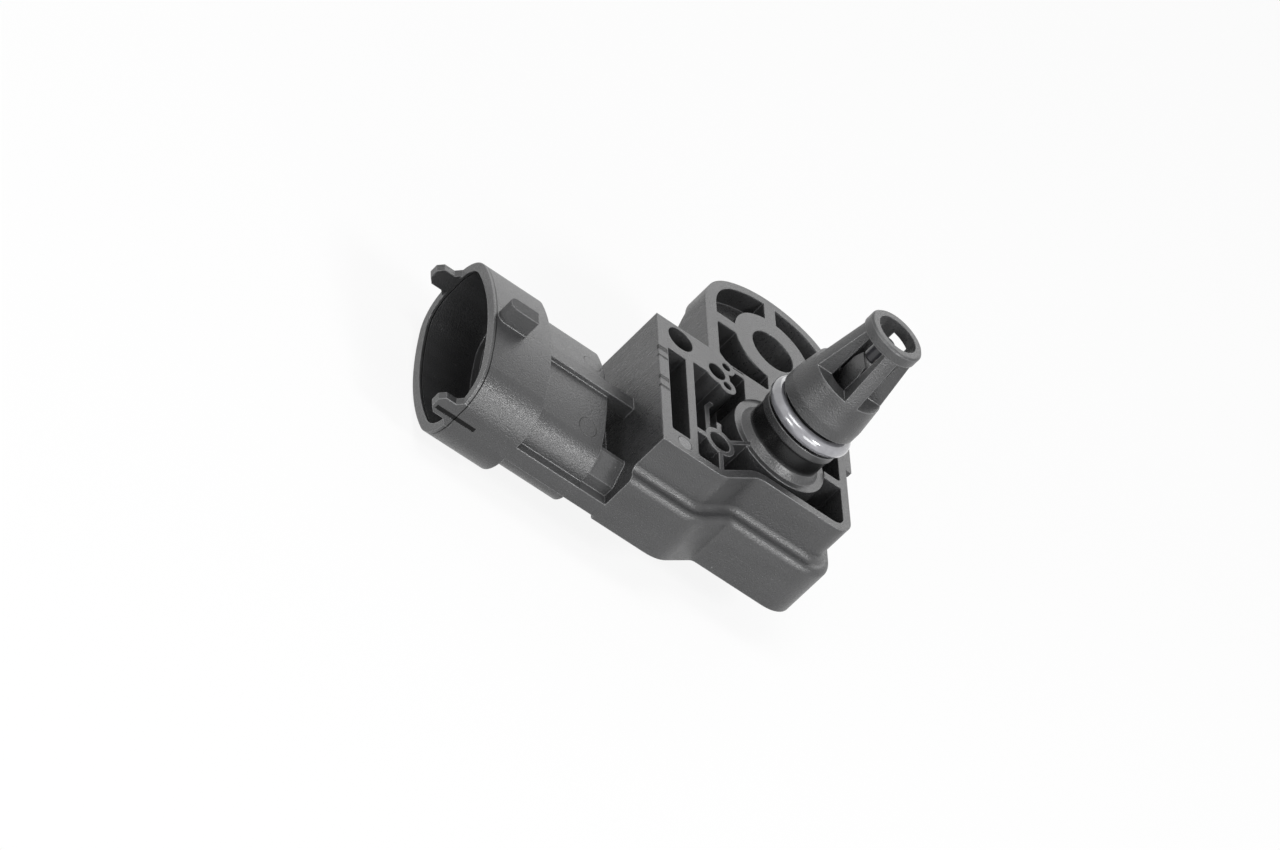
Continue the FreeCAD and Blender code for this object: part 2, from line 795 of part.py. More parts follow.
def add_connector(piece, s):
    """The collar and neck of the connector, hollowed, with what is moulded on them."""
    inset = s.neck_inset
    wall = s.collar_wall
    y, z = -s.collar_y, -s.collar_z

    def section(x, shrink):
        return piece.outline("YZ", -x).barrel(
            y, z, s.collar_half_width - shrink, s.collar_half_height - shrink,
            s.collar_corner_r - shrink, s.collar_side_r - shrink)

    piece.pad(section(s.mouth_x, dim(0)), s.collar_length)
    piece.pad(section(s.collar_back, inset), s.collar_back - s.neck_back)
    core = piece.outline("YZ", -s.neck_back - s.rib).box(
        y - s.core_half_width, y + s.core_half_width,
        z - s.core_half_height, z + s.core_half_height)
    piece.pad(core, s.neck_gap + s.rib + s.lid_inset / 2)

    face = s.front_left + s.tier_step
    plate = piece.outline("XZ", face).box(-s.collar_back - s.rib, -s.body_left + s.rib,
                                          z - s.plate_below, z + s.plate_above)
    piece.pad(plate, s.plate_thick, back=True)
    top = z + s.collar_half_height - inset + s.ridge_rise
    ridge = piece.outline(offset=top).box(-s.collar_back, -s.body_left + s.rib,
                                          y - s.ridge_half + s.rib / 2,
                                          y + s.ridge_half + s.rib / 2)
    piece.pad(ridge, s.ridge_depth, back=True)
    gusset_y = -face + s.gusset_inset
    gusset_top = z + s.gusset_rise
    foot = z + s.plate_above - s.rib / 2
    inner, outer = gusset_y + s.gusset_half, gusset_y - s.gusset_half
    gusset = piece.outline("YZ", -s.neck_back - s.rib / 2).polygon(
        (outer, foot), (inner, foot), (inner, gusset_top),
        (outer + s.gusset_bevel, gusset_top), (outer, gusset_top - s.gusset_bevel))
    piece.pad(gusset, s.neck_gap + s.rib * 1.5)

    piece.pocket(section(s.mouth_x, wall), s.collar_length - wall, back=True)
    piece.pocket(section(s.mouth_x, wall + inset),
                 s.mouth_x - s.neck_back - s.socket_floor, back=True)

    nub_top = z + s.collar_half_height + s.nub_height
    nub_front = -s.mouth_x + s.nub_setback
    nub_back = nub_front + s.nub_length
    low, high = y - s.nub_side - s.nub_half, y - s.nub_side + s.nub_half
    nub = piece.outline(offset=nub_top).polygon(
        (nub_front, low, s.nub_round), (nub_back, low), (nub_back, high),
        (nub_front, high, s.nub_round))
    piece.pad(nub, s.nub_height + wall / 2, back=True)
    half = s.key_half
    for side in (1, -1):
        key = piece.outline("XZ", side * (s.collar_half_width + side * s.collar_y)).polygon(
            (-s.mouth_x + s.rib, z + half + s.rib), (-s.mouth_x, z + half + s.rib),
            (-s.mouth_x - s.rib, z + half), (-s.mouth_x - s.key_length + s.rib, z + half),
            (-s.mouth_x - s.key_length, z + half - s.rib),
            (-s.mouth_x - s.key_length, z - half + s.rib),
            (-s.mouth_x - s.key_length + s.rib, z - half), (-s.mouth_x - s.rib, z - half),
            (-s.mouth_x, z - half - s.rib), (-s.mouth_x + s.rib, z - half - s.rib))
        piece.pad(key, wall, back=side > 0)


def chamber_outline(outline, s, inset, left, top):
    return body_outline(outline, s, s.tier_step - inset, left, top)


def cut_chamber(piece, s):
    """The chamber behind the port, its lid's seat and the shelf for the terminals."""
    back = -s.body_depth
    chamber_left = s.body_left - s.chamber_side
    room = chamber_outline(piece.outline(offset=back), s, s.chamber_wall,
                           chamber_left, s.body_top - s.chamber_edge)
    piece.pocket(room, s.body_depth - s.chamber_roof, back=True)
    seat = chamber_outline(piece.outline(offset=back), s, s.lid_inset,
                           s.body_left - s.lid_inset, s.body_top - s.lid_inset)
    piece.pocket(seat, s.lid_thick + s.seal_thick, back=True)
    reach = s.pin_pitch * 2
    shelf = piece.outline(offset=-s.chamber_roof + s.rib / 2).box(
        -chamber_left - s.rib, -s.pin_inner - s.pin_overhang,
        -s.collar_y - reach, -s.collar_y + reach)
    piece.pad(shelf, s.pin_drop + s.rib / 2, back=True)


def make_housing(doc, s, inserts):
    """The one-piece moulding: block, port and connector fused, less its inserts."""
    block = Piece(doc, "moulded_block")
    add_tiers(block, s)
    add_flange(block, s)
    cut_face_pockets(block, s)
    cut_flange_pockets(block, s)
    cut_chamber(block, s)
    cut_port_way(block, s)
    add_clip(block, s)
    port = Piece(doc, "moulded_port")
    add_port(port, s)
    connector = Piece(doc, "moulded_connector")
    add_connector(connector, s)
    ribs = make_face_ribs(doc, s)
    whole = doc.addObject("Part::MultiFuse", "moulding")
    whole.Shapes = [block.body, port.body, connector.body, ribs]
    whole.Refine = True
    return cut_away(doc, "sensor_housing", whole, inserts)


def pin_place(s, index):
    return -s.collar_y + s.pin_pitch * (index - 1.5)


def make_terminal(doc, s, index):
    """A stamped terminal: blade in the socket, a bend, and its inner end."""
    piece = Piece(doc, f"terminal_{index + 1}")
    half = s.pin_thick / 2
    low = -s.collar_z
    high = -s.pin_inner_z - half
    front = -s.mouth_x + s.pin_setback
    bend_start = -s.body_left + s.pin_bend_inset
    bend_end = bend_start + s.pin_bend_run
    run = s.pin_bend_run
    climb = high - low
    shift = ((run * run + climb * climb).root() - run) / climb * half
    bend = s.pin_bend_r
    nose = s.pin_thick
    side = piece.outline("XZ", -pin_place(s, index)).polygon(
        (front, low + half / 2), (front, low - half / 2), (front + nose, low - half),
        (bend_start + shift, low - half, bend + s.pin_thick),
        (bend_end + shift, high - half, bend),
        (-s.pin_inner, high - half), (-s.pin_inner, high + half),
        (bend_end - shift, high + half, bend + s.pin_thick),
        (bend_start - shift, low + half, bend), (front + nose, low + half))
    piece.pad(side, s.pin_width, middle=True)
    return piece


def make_lead(doc, s, index):
    """A thermistor wire: from the bead down the web, across, and down to its terminal."""
    side = (-1, 1)[index]
    target = pin_place(s, index + 2).value
    lead_y = side * s.lead_y.value
    level = (s.lead_rise - s.chamber_roof).value
    drop = -(s.pin_inner + s.lead_land).value
    points = [
        FreeCAD.Vector(drop, target, -s.pin_inner_z.value),
        FreeCAD.Vector(drop, target, level),
        FreeCAD.Vector(0, lead_y, level),
        FreeCAD.Vector(0, lead_y, (s.web_top + s.web_bevel).value),
        FreeCAD.Vector(0, side * s.lead_bead_y.value, s.bead_z.value),
    ]
    foot = Part.Circle(points[0], FreeCAD.Vector(0, 0, 1), s.lead_r.value)
    path = Part.makePolygon(points)
    mitred = 1
    lead = doc.addObject("Part::Feature", f"thermistor_lead_{index + 1}")
    lead.Label = f"thermistor_lead_{index + 1}"
    lead.Shape = path.makePipeShell([Part.Wire(foot.toShape())], True, False, mitred)
    return lead


def make_bond_strap(doc, s, index):
    """A bonded strap: a flat hoop from a terminal's inner end to the substrate."""
    piece = Piece(doc, f"bond_strap_{index + 1}")
    pin = -s.pin_inner_z - s.pin_thick
    board = -s.chamber_roof - s.glue_thick - s.board_thick
    left = -s.pin_inner - s.strap_land
    right = -s.board_left + s.strap_land
    low = pin - s.strap_rise
    thick = s.strap_thick
    hoop = piece.outline("XZ", -pin_place(s, index)).polygon(
        (left - thick, pin), (left - thick, low + thick), (left, low),
        (right, low), (right + thick, low + thick), (right + thick, board),
        (right, board), (right, low + thick), (left, low + thick), (left, pin))
    piece.pad(hoop, s.strap_width, middle=True)
    return piece


def make_lid(doc, s):
    piece = Piece(doc, "rear_cover")
    inset = s.lid_inset + s.lid_gap
    outer = chamber_outline(piece.outline(offset=-s.body_depth), s, inset,
                            s.body_left - inset, s.body_top - inset)
    piece.pad(outer, s.lid_thick)
    return piece


def make_seal(doc, s):
    """The adhesive bead between the cover and its seat."""
    piece = Piece(doc, "cover_sealant")
    inset = s.lid_inset + s.lid_gap
    ring = chamber_outline(piece.outline(offset=-s.body_depth + s.lid_thick), s, inset,
                           s.body_left - inset, s.body_top - inset)
    chamber_outline(ring, s, s.chamber_wall, s.body_left - s.chamber_side,
                    s.body_top - s.chamber_edge)
    piece.pad(ring, s.seal_thick)
    return piece


def make_substrate(doc, s):
    piece = Piece(doc, "ceramic_substrate")
    top = -s.chamber_roof - s.glue_thick
    plate = piece.outline(offset=top).box(
        -s.board_left, s.board_right, -s.collar_y - s.board_half_width,
        -s.collar_y + s.board_half_width)
    piece.pad(plate, s.board_thick, back=True)
    return piece


def make_frame(doc, label, outer, inner, level, height):
    """A square frame round the port's axis, standing on level."""
    piece = Piece(doc, label)
    frame = piece.outline(offset=level).box(-outer, outer, -outer, outer)
    frame.box(-inner, inner, -inner, inner)
    piece.pad(frame, height)
    return piece


def make_block(doc, label, x, y, level, size_x, size_y, height, back=False):
    """A block centred on x, y whose foot stands on level."""
    piece = Piece(doc, label)
    foot = piece.outline(offset=level).box(x - size_x / 2, x + size_x / 2,
                                           y - size_y / 2, y + size_y / 2)
    piece.pad(foot, height, back=back)
    return piece


def make_gel(doc, s, level):
    """The clear gel that covers the chip inside its dam."""
    piece = Piece(doc, "sensor_gel")
    half = s.dam_half - s.dam_wall
    piece.pad(piece.outline(offset=level).box(-half, half, -half, half), s.gel_height)
    half = s.glass_side / 2
    piece.pocket(piece.outline(offset=level).box(-half, half, -half, half),
                 s.glass_height, back=True)
    half = s.chip_side / 2
    piece.pocket(piece.outline(offset=level + s.glass_height).box(-half, half, -half, half),
                 s.chip_height, back=True)
    return piece


def make_cell(doc, s):
    """The pressure cell on the substrate, and the capacitors behind it."""
    face = -s.chamber_roof - s.glue_thick
    rear = face - s.board_thick
    pieces = [make_substrate(doc, s)]
    glue = s.port_bore_r + s.rib
    dam = s.dam_half
    pieces.append(make_frame(doc, "substrate_adhesive", glue + s.glue_width, glue, face,
                             s.glue_thick))
    pieces.append(make_frame(doc, "gel_dam", dam, dam - s.dam_wall, face, s.dam_height))
    pieces.append(make_block(doc, "glass_base", dim(0), dim(0), face,
                             s.glass_side, s.glass_side, s.glass_height))
    pieces.append(make_block(doc, "pressure_chip", dim(0), dim(0), face + s.glass_height,
                             s.chip_side, s.chip_side, s.chip_height))
    pieces.append(make_gel(doc, s, face))
    for index in range(3):
        pieces.append(make_block(doc, f"capacitor_{index + 1}", s.board_right - s.capacitor_edge,
                                 -s.collar_y + s.capacitor_pitch * (index - 1), rear,
                                 s.capacitor_length, s.capacitor_width,
                                 s.capacitor_height, back=True))
    return pieces


def make_port_ring(doc, s):
    """The rubber ring in the port's groove, its round cord turned as many narrow flats."""
    piece = Piece(doc, "port_sealing_ring")
    radius = s.ring_thick / 2
    middle = s.ring_r - radius
    step = 2 * math.pi / RING_FLATS
    corner = radius / math.cos(step / 2)
    angles = [step * (index + 0.5) for index in range(RING_FLATS)]
    piece.revolve(piece.outline("XZ").polygon(*[
        (middle + corner * math.cos(angle), s.ring_z + corner * math.sin(angle))
        for angle in angles]))
    return piece


def make_bead(doc, s, leads):
    """The thermistor's capsule, moulded round its two wires."""
    piece = Piece(doc, "bead_capsule")
    top = s.bead_z + s.bead_length / 2
    foot = s.bead_z - s.bead_length / 2
    neck = s.bead_r - s.bead_bevel
    piece.revolve(piece.outline("XZ").polygon(
        (0, foot), (neck, foot), (s.bead_r, foot + s.bead_bevel), (s.bead_r, top - s.bead_bevel),
        (neck, top), (0, top)))
    return cut_away(doc, "thermistor_bead", piece.body, leads)


def cut_away(doc, label, base, tools):
    """A cut whose tool is the compound of tools."""
    tool = doc.addObject("Part::Compound", f"{label}_tools")
    tool.Links = tools
    cut = doc.addObject("Part::Cut", label)
    cut.Label = label
    cut.Base = base
    cut.Tool = tool
    doc.recompute()
    return cut


def build(doc):
    """Builds every piece; returns the objects to write, by label."""
    s = Sheet(doc)
    terminals = [make_terminal(doc, s, index).body for index in range(4)]
    leads = [make_lead(doc, s, index) for index in range(2)]
    parts = [make_housing(doc, s, terminals + leads)]
    parts += terminals + leads
    parts.append(make_bead(doc, s, leads))
    pieces = [make_lid(doc, s), make_seal(doc, s), make_port_ring(doc, s)]
    pieces += make_cell(doc, s)
    pieces += [make_bond_strap(doc, s, index) for index in range(4)]
    parts += [piece.body for piece in pieces]
    return parts


def check(doc, parts):
    """Raises if an object failed or a piece isn't one valid solid."""
    doc.recompute()
    for item in doc.Objects:
        bad = [state for state in item.State if state in ("Invalid", "Error")]
        if bad:
            raise ValueError(f"{item.Name}: {bad}")
    for part in parts:
        shape = part.Shape
        if shape.isNull() or not shape.isValid():
            raise ValueError(f"{part.Label}: the shape isn't valid")
        if len(shape.Solids) != 1:
            raise ValueError(f"{part.Label}: {len(shape.Solids)} solids")


def main():
    doc = FreeCAD.newDocument("pressure_sensor")
    parts = build(doc)
    check(doc, parts)
    os.makedirs("parts", exist_ok=True)
    for part in parts:
        part.Shape.exportStep(os.path.join("parts", f"{part.Label}.step"))
        print(f"{part.Label}: {part.Shape.Volume:.3f} mm3")


main()
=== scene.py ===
"""Dresses a manifold pressure and temperature sensor in its studio.

Lengths are in metres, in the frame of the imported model: +Z runs along the
port, -X out of the plug socket and +Y from the port to the bolt hole. The
places and widths that a finish reads on a surface are in millimetres.
"""

import logging
import math
from dataclasses import dataclass, field
from enum import Enum
from typing import Mapping, Optional, Sequence, Tuple, Union

import bmesh
import bpy
from mathutils import Matrix, Vector


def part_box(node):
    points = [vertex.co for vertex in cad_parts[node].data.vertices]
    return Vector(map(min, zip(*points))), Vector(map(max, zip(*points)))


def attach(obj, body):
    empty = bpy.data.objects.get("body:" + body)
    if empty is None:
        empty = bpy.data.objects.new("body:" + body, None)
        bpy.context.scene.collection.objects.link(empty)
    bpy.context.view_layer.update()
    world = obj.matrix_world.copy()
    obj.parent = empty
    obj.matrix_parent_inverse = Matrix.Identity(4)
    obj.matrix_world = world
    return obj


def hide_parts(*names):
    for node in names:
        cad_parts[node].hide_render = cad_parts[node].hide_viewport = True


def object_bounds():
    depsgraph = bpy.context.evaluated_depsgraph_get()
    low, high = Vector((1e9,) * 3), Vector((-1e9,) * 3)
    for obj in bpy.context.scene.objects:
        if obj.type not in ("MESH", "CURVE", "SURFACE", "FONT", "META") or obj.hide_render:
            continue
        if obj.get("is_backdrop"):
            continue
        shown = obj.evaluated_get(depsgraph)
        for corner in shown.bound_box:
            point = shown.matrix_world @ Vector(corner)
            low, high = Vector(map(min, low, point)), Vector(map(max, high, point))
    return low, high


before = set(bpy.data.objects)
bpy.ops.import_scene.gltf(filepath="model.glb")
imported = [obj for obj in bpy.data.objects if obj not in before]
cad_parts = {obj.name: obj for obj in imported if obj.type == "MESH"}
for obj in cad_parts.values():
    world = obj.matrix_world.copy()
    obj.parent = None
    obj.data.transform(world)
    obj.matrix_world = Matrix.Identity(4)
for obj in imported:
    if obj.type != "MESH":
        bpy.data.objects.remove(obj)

LOG = logging.getLogger("sensor")
Span = Tuple[float, float]
Triple = Tuple[float, float, float]
Key = Union[str, int]
MILLIMETRE = 0.001
NOISE_MIDDLE = 0.5
EDGE_SAMPLES = 6
EDGE_BEND: Span = (0.005, 0.14)
WHITE: Triple = (1.0, 1.0, 1.0)


def find_socket(sockets: bpy.types.bpy_prop_collection, key: Key) -> bpy.types.NodeSocket:
    """Finds one socket of a node.

    Args:
        sockets: The inputs or outputs of the node.
        key: The socket's identifier, name or index.

    Returns:
        The socket.
    """
    if isinstance(key, int):
        return sockets[key]
    for socket in sockets:
        if socket.identifier == key:
            return socket
    return sockets[key]


class Signal:
    """A shader socket that takes part in Python expressions.

    Arithmetic on a number signal adds Math nodes. The signal of a vector or of
    a colour is passed on to the methods of its Board.
    """

    def __init__(self, board: "Board", socket: bpy.types.NodeSocket) -> None:
        """Wraps a socket.

        Args:
            board: The material that the socket belongs to.
            socket: The output socket.
        """
        self.board = board
        self.socket = socket

    def __add__(self, other: "Term") -> "Signal":
        """Returns self + other."""
        return self.board.math("ADD", self, other)

    def __radd__(self, other: "Term") -> "Signal":
        """Returns other + self."""
        return self.board.math("ADD", other, self)

    def __sub__(self, other: "Term") -> "Signal":
        """Returns self - other."""
        return self.board.math("SUBTRACT", self, other)

    def __rsub__(self, other: "Term") -> "Signal":
        """Returns other - self."""
        return self.board.math("SUBTRACT", other, self)

    def __mul__(self, other: "Term") -> "Signal":
        """Returns self * other."""
        return self.board.math("MULTIPLY", self, other)

    def __rmul__(self, other: "Term") -> "Signal":
        """Returns other * self."""
        return self.board.math("MULTIPLY", other, self)

    def __pow__(self, other: "Term") -> "Signal":
        """Returns self ** other."""
        return self.board.math("POWER", self, other)

    def __rpow__(self, other: "Term") -> "Signal":
        """Returns other ** self."""
        return self.board.math("POWER", other, self)

    def __abs__(self) -> "Signal":
        """Returns |self|."""
        return self.board.math("ABSOLUTE", self)

    def above(self, edge: "Term") -> "Signal":
        """Returns 1 where self is over edge, else 0."""
        return self.board.math("GREATER_THAN", self, edge)

    def ramp(self, low: float, high: float) -> "Signal":
        """Rises smoothly from 0 to 1.

        Args:
            low: The value at which the ramp starts.
            high: The value at which it ends; it may be under low.

        Returns:
            The smooth step.
        """
        node = self.board.add(
            "ShaderNodeMapRange",
            {"interpolation_type": "SMOOTHSTEP"},
            {"Value": self, "From Min": low, "From Max": high, "To Min": 0.0, "To Max": 1.0},
        )
        return Signal(self.board, node.outputs["Result"])


Term = Union[Signal, float, int]
Feed = Union[Signal, float, int, Sequence[float]]
Spot = Tuple[Signal, Signal, Signal]


@dataclass(frozen=True)
class Noise:
    """Cloudy noise about its middle; a factor under 1 draws it out along that axis."""

    per_mm: float
    layers: float = 2.0
    fade: float = 0.5
    factors: Triple = (1.0, 1.0, 1.0)


class Board:
    """A material or a world, and its nodes, each of which comes from add()."""

    def __init__(self, name: str, world: bool = False) -> None:
        """Makes an empty material or world.

        Args:
            name: Its name.
            world: Whether it is a world.
        """
        library = bpy.data.worlds if world else bpy.data.materials
        self.owner = library.new(name)
        self.owner.use_nodes = True
        self.tree = self.owner.node_tree
        self.tree.nodes.clear()

    def add(
        self,
        kind: str,
        settings: Optional[Mapping[str, object]] = None,
        inputs: Optional[Mapping[Key, Feed]] = None,
    ) -> bpy.types.Node:
        """Adds one node.

        Args:
            kind: The node's type.
            settings: Its settings, which are set first.
            inputs: A value or a link for each named socket.

        Returns:
            The new node.
        """
        node = self.tree.nodes.new(kind)
        for name, value in (settings or {}).items():
            setattr(node, name, value)
        for key, feed in (inputs or {}).items():
            socket = find_socket(node.inputs, key)
            if isinstance(feed, Signal):
                self.tree.links.new(feed.socket, socket)
            else:
                socket.default_value = feed
        return node

    def math(self, operation: str, *terms: Term) -> Signal:
        """Adds a Math node.

        Args:
            operation: The node's operation.
            *terms: Its one or two operands.

        Returns:
            The result.
        """
        node = self.add("ShaderNodeMath", {"operation": operation}, dict(enumerate(terms)))
        return Signal(self, node.outputs["Value"])

    def vector(self, operation: str, output: str, inputs: Mapping[Key, Feed]) -> Signal:
        """Adds a Vector Math node.

        Args:
            operation: The node's operation.
            output: Vector or Value.
            inputs: Its operands.

        Returns:
            The result.
        """
        node = self.add("ShaderNodeVectorMath", {"operation": operation}, inputs)
        return Signal(self, find_socket(node.outputs, output))

    def blend(self, amount: Term, first: Feed, second: Feed) -> Signal:
        """Mixes two colours.

        Args:
            amount: 0 gives the first colour and 1 the second.
            first: The first colour.
            second: The second colour.

        Returns:
            The mixed colour.
        """
        node = self.add(
            "ShaderNodeMix",
            {"data_type": "RGBA"},
            {"Factor_Float": amount, "A_Color": first, "B_Color": second},
        )
        return Signal(self, find_socket(node.outputs, "Result_Color"))

    def place(self) -> Signal:
        """Finds the surface point.

        Returns:
            The point in the part's own frame, in millimetres.
        """
        node = self.add("ShaderNodeTexCoord")
        point = Signal(self, node.outputs["Object"])
        return self.vector("SCALE", "Vector", {0: point, "Scale": 1.0 / MILLIMETRE})

    def parts_of(self, point: Signal) -> Spot:
        """Returns the x, y and z of a point."""
        node = self.add("ShaderNodeSeparateXYZ", None, {"Vector": point})
        return tuple(Signal(self, node.outputs[axis]) for axis in "XYZ")

    def noise(self, point: Signal, look: Noise) -> Signal:
        """Adds cloudy noise.

        Args:
            point: Where it is read, in millimetres.
            look: How fine it is and how it is drawn out.

        Returns:
            A number about NOISE_MIDDLE.
        """
        drawn_out = self.vector("MULTIPLY", "Vector", {0: point, 1: look.factors})
        node = self.add(
            "ShaderNodeTexNoise",
            None,
            {
                "Vector": drawn_out,
                "Scale": look.per_mm,
                "Detail": look.layers,
                "Roughness": look.fade,
            },
        )
        return Signal(self, node.outputs["Fac"])

    def spots(self, point: Signal, per_mm: float) -> Signal:
        """Returns how far the nearest of many scattered points is, by their own spacing."""
        node = self.add("ShaderNodeTexVoronoi", None, {"Vector": point, "Scale": per_mm})
        return Signal(self, node.outputs["Distance"])

    def soft_edges(self, radius: float) -> Tuple[Signal, Signal]:
        """Rounds the edges for the light, as a moulding tool leaves them.

        Args:
            radius: The rounding's radius in metres.

        Returns:
            The rounded normal, and how near the point is to an edge, from 0 to 1.
        """
        rounded = self.add("ShaderNodeBevel", {"samples": EDGE_SAMPLES}, {"Radius": radius})
        normal = Signal(self, rounded.outputs["Normal"])
        flat = Signal(self, self.add("ShaderNodeNewGeometry").outputs["Normal"])
        agree = self.vector("DOT_PRODUCT", "Value", {0: normal, 1: flat})
        return normal, (1.0 - agree).ramp(*EDGE_BEND)

    def bump(
        self,
        height: Term,
        depth: float,
        strength: float = 1.0,
        normal: Optional[Signal] = None,
    ) -> Signal:
        """Adds relief.

        Args:
            height: The relief, about 0 to 1.
            depth: The real depth of that relief, in metres.
            strength: How much of it the light sees.
            normal: The normal to start from.

        Returns:
            The new normal.
        """
        inputs = {"Strength": strength, "Distance": depth, "Height": height}
        if normal is not None:
            inputs["Normal"] = normal
        return Signal(self, self.add("ShaderNodeBump", None, inputs).outputs["Normal"])

    def shader(self, kind: str, inputs: Mapping[Key, Feed]) -> Signal:
        """Adds a shader.

        Args:
            kind: The node's type.
            inputs: A value or a link for each named socket.

        Returns:
            The light that it gives off.
        """
        return Signal(self, self.add(kind, None, inputs).outputs[0])

    def seen(self) -> Signal:
        """Tells what the camera sees from what only lights the part.

        Returns:
            1 where the camera, a reflection or clear matter looks, else 0.
        """
        path = self.add("ShaderNodeLightPath")
        camera = Signal(self, path.outputs["Is Camera Ray"])
        mirrored = Signal(self, path.outputs["Is Glossy Ray"])
        through = Signal(self, path.outputs["Is Transmission Ray"])
        return self.math("MAXIMUM", self.math("MAXIMUM", camera, mirrored), through)

    def finish(self, inputs: Mapping[str, Feed]) -> bpy.types.Material:
        """Closes the material with a Principled surface.

        Args:
            inputs: A value or a link for each named socket.

        Returns:
            The material.
        """
        surface = self.shader("ShaderNodeBsdfPrincipled", inputs)
        self.add("ShaderNodeOutputMaterial", None, {"Surface": surface})
        return self.owner


def opaque(colour: Triple) -> Tuple[float, float, float, float]:
    """Returns a colour with full alpha."""
    return (*colour, 1.0)


@dataclass(frozen=True)
class Block:
    """A straight-sided share of the surface, in millimetres; no range is no limit."""

    x: Optional[Span] = None
    y: Optional[Span] = None
    z: Optional[Span] = None
    soft: float = 0.05

    def mask(self, spot: Spot) -> Signal:
        """Finds the block.

        Args:
            spot: The surface point's x, y and z.

        Returns:
            1 in the block and 0 outside it.
        """
        sides = []
        for value, limits in zip(spot, (self.x, self.y, self.z)):
            if limits is not None:
                low, high = limits
                sides.append(value.ramp(low - self.soft, low + self.soft))
                sides.append(value.ramp(high + self.soft, high - self.soft))
        return math.prod(sides[1:], start=sides[0])


@dataclass(frozen=True)
class Band:
    """A band round the port, in millimetres; over each pair it fades in."""

    foot: Span
    head: Span
    side: Span

    def mask(self, spot: Spot) -> Signal:
        """Finds the band.

        Args:
            spot: The surface point's x, y and z.

        Returns:
            1 in the band and 0 outside it.
        """
        x, y, z = spot
        radial = (x * x + y * y) ** 0.5
        return z.ramp(*self.foot) * z.ramp(*self.head) * radial.ramp(*self.side)


@dataclass(frozen=True)
class PinTrace:
    """The round line that an ejector pin leaves on faces over a height, in millimetres."""

    x: float
    y: float
    radius: float
    above: float
    width: float = 0.07

    def mask(self, spot: Spot) -> Signal:
        """Finds the line.

        Args:
            spot: The surface point's x, y and z.

        Returns:
            1 on the line and 0 beside it.
        """
        line = abs(self.away(spot) - self.radius).ramp(self.width, 0.0)
        return line * spot[2].above(self.above)

    def disc(self, spot: Spot) -> Signal:
        """Finds what the line encloses.

        Args:
            spot: The surface point's x, y and z.

        Returns:
            1 inside the line and 0 outside it.
        """
        inside = self.away(spot).ramp(self.radius, self.radius - self.width)
        return inside * spot[2].above(self.above)

    def away(self, spot: Spot) -> Signal:
        """Returns how far the point is from the pin's middle."""
        return ((spot[0] - self.x) ** 2 + (spot[1] - self.y) ** 2) ** 0.5


def cover(marks: Sequence[Union[Block, PinTrace]], spot: Spot) -> Signal:
    """Returns the masks of several marks, added up."""
    return sum(mark.mask(spot) for mark in marks)


@dataclass(frozen=True)
class NylonTint:
    """How strongly each trait of the nylon changes its colour."""

    cloud_start: float = 0.35
    cloud: float = 0.7
    # Strength of the pale edges: partly wear, partly a painted highlight on the rounded
    # edges.
    edge: float = 0.7
    speck: float = 0.5
    disc: float = 0.4
    # Strength of the painted shade in the sunk marks: the tongue's groove, the rim line and
    # the strip's bars.
    sunk: float = 0.85
    # Strength of the painted shade in the pin traces' lines.
    trace: float = 0.4
    # Strength of the painted dark reflection on the port's barrel.
    painted_barrel_reflection: float = 0.6


@dataclass(frozen=True)
class NylonTouch:
    """The nylon's roughness, and how strongly each trait changes it."""

    plain: float = 0.34
    port: float = 0.28
    grain: float = 0.4
    cloud: float = 0.14
    drawn: float = 0.3
    edge: float = 0.08
    coarse: float = 0.35


@dataclass(frozen=True)
class NylonRelief:
    """The nylon's relief, with depths in metres, and how strongly each trait changes it."""

    edge_radius: float = 0.00022
    grain_depth: float = 0.000065
    mark_depth: float = 0.00012
    port_polish: float = 0.85
    port_fibres: float = 0.2
    drawn_fibres: float = 0.5
    trace: float = 0.5


@dataclass(frozen=True)
class NylonTraits:
    """Where each trait of the nylon shows, from 0 to 1, and the values of its noises."""

    port: Signal
    # The port's barrel, painted darker as a painted dark reflection.
    painted_barrel_reflection: Signal
    drawn: Signal
    coarse: Signal
    # sunk: the sunk marks, which take relief and painted shade.
    sunk: Signal
    # traces: the pin traces' lines, which take relief and painted shade.
    traces: Signal
    disc: Signal
    specks: Signal
    # edge: how near an edge the point is; the colour lightens there, partly as wear and
    # partly as a painted highlight.
    edge: Signal
    grain: Signal
    cloud: Signal
    fibres: Signal


